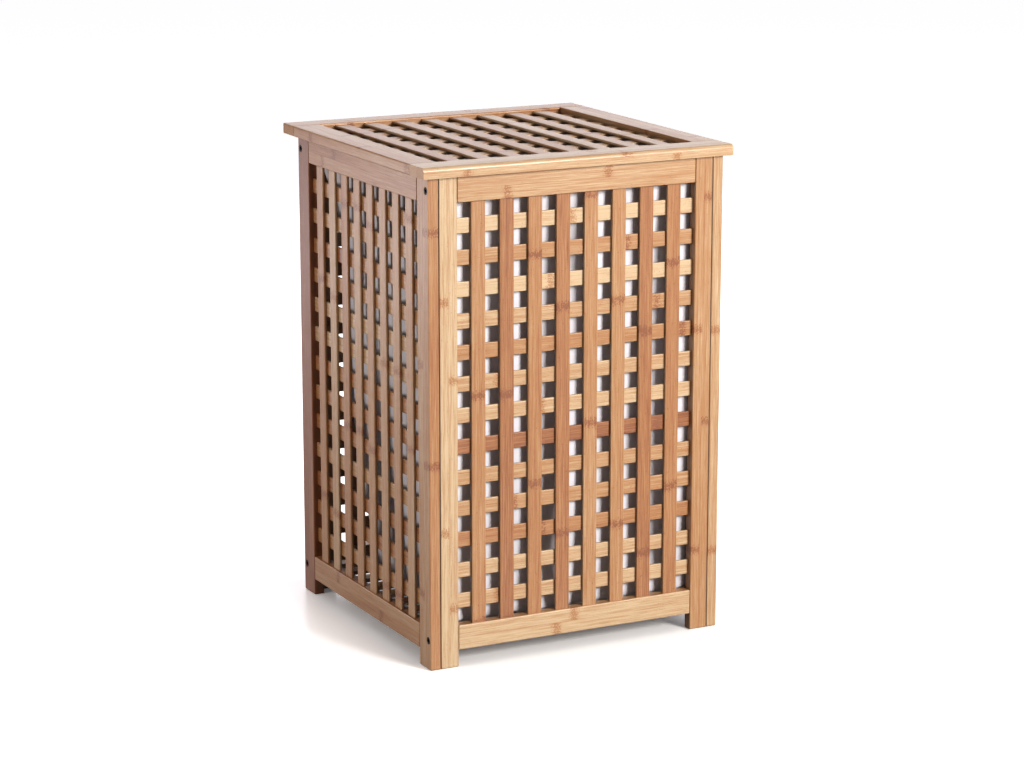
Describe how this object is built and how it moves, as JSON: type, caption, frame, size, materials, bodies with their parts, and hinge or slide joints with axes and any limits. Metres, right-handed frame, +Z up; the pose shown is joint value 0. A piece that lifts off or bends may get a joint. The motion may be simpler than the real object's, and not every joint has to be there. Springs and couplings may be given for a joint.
{
  "type": "laundry hamper with lid",
  "caption": "Square laundry hamper of bamboo lattice panels on short L-shaped legs, with a rear-hinged lattice lid and a white fabric bag inside.",
  "frame": {"origin": "on the floor under the middle of the lid", "axes": "+X to the hamper's right seen from the front, +Y to its hinged back, +Z up"},
  "size_m": [0.4, 0.4, 0.588],
  "materials": {
    "bamboo_frame": "satin lacquered bamboo, laminated strips with nodes",
    "bamboo_slats": "satin lacquered bamboo slats, tint differs from slat to slat",
    "bag_cotton": "plain white woven cotton with sewn hems",
    "grip_tape": "off-white hook-and-loop tape",
    "dark_steel": "blackened steel bolts",
    "zinc_steel": "zinc-plated steel"
  },
  "bodies": {
    "root": {"front_left_stile": "bamboo_frame", "front_right_stile": "bamboo_frame", "front_top_rail": "bamboo_frame", "front_bottom_rail": "bamboo_frame", "front_upright_slats": "bamboo_slats", "front_cross_slats": "bamboo_slats", "back_left_stile": "bamboo_frame", "back_right_stile": "bamboo_frame", "back_top_rail": "bamboo_frame", "back_bottom_rail": "bamboo_frame", "back_upright_slats": "bamboo_slats", "back_cross_slats": "bamboo_slats", "left_front_stile": "bamboo_frame", "left_back_stile": "bamboo_frame", "left_top_rail": "bamboo_frame", "left_bottom_rail": "bamboo_frame", "left_upright_slats": "bamboo_slats", "left_cross_slats": "bamboo_slats", "right_front_stile": "bamboo_frame", "right_back_stile": "bamboo_frame", "right_top_rail": "bamboo_frame", "right_bottom_rail": "bamboo_frame", "right_upright_slats": "bamboo_slats", "right_cross_slats": "bamboo_slats", "floor_left_batten": "bamboo_frame", "floor_right_batten": "bamboo_frame", "floor_slats": "bamboo_slats", "batten_screws": "zinc_steel", "corner_bolts": "dark_steel", "corner_barrel_nuts": "zinc_steel", "laundry_bag": "bag_cotton", "bag_grip_tapes": "grip_tape", "left_hinge_body_leaf": "zinc_steel", "left_hinge_pin": "zinc_steel", "right_hinge_body_leaf": "zinc_steel", "right_hinge_pin": "zinc_steel", "hinge_body_screws": "zinc_steel"},
    "lid": {"lid_front_rail": "bamboo_frame", "lid_back_rail": "bamboo_frame", "lid_left_rail": "bamboo_frame", "lid_right_rail": "bamboo_frame", "lid_long_slat_1": "bamboo_slats", "lid_long_slat_2": "bamboo_slats", "lid_long_slat_3": "bamboo_slats", "lid_long_slat_4": "bamboo_slats", "lid_long_slat_5": "bamboo_slats", "lid_long_slat_6": "bamboo_slats", "lid_long_slat_7": "bamboo_slats", "lid_long_slat_8": "bamboo_slats", "lid_cross_slat_1": "bamboo_slats", "lid_cross_slat_2": "bamboo_slats", "lid_cross_slat_3": "bamboo_slats", "lid_cross_slat_4": "bamboo_slats", "lid_cross_slat_5": "bamboo_slats", "lid_cross_slat_6": "bamboo_slats", "lid_cross_slat_7": "bamboo_slats", "lid_cross_slat_8": "bamboo_slats", "left_hinge_lid_leaf": "zinc_steel", "right_hinge_lid_leaf": "zinc_steel", "hinge_lid_screws": "zinc_steel"}
  },
  "joints": [
    {"name": "lid_hinge", "type": "hinge", "parent": "root", "child": "lid", "pos_m": [0, 0.177, 0.572], "axis": [-1, 0, 0], "range_deg": [0, 98]}
  ]
}
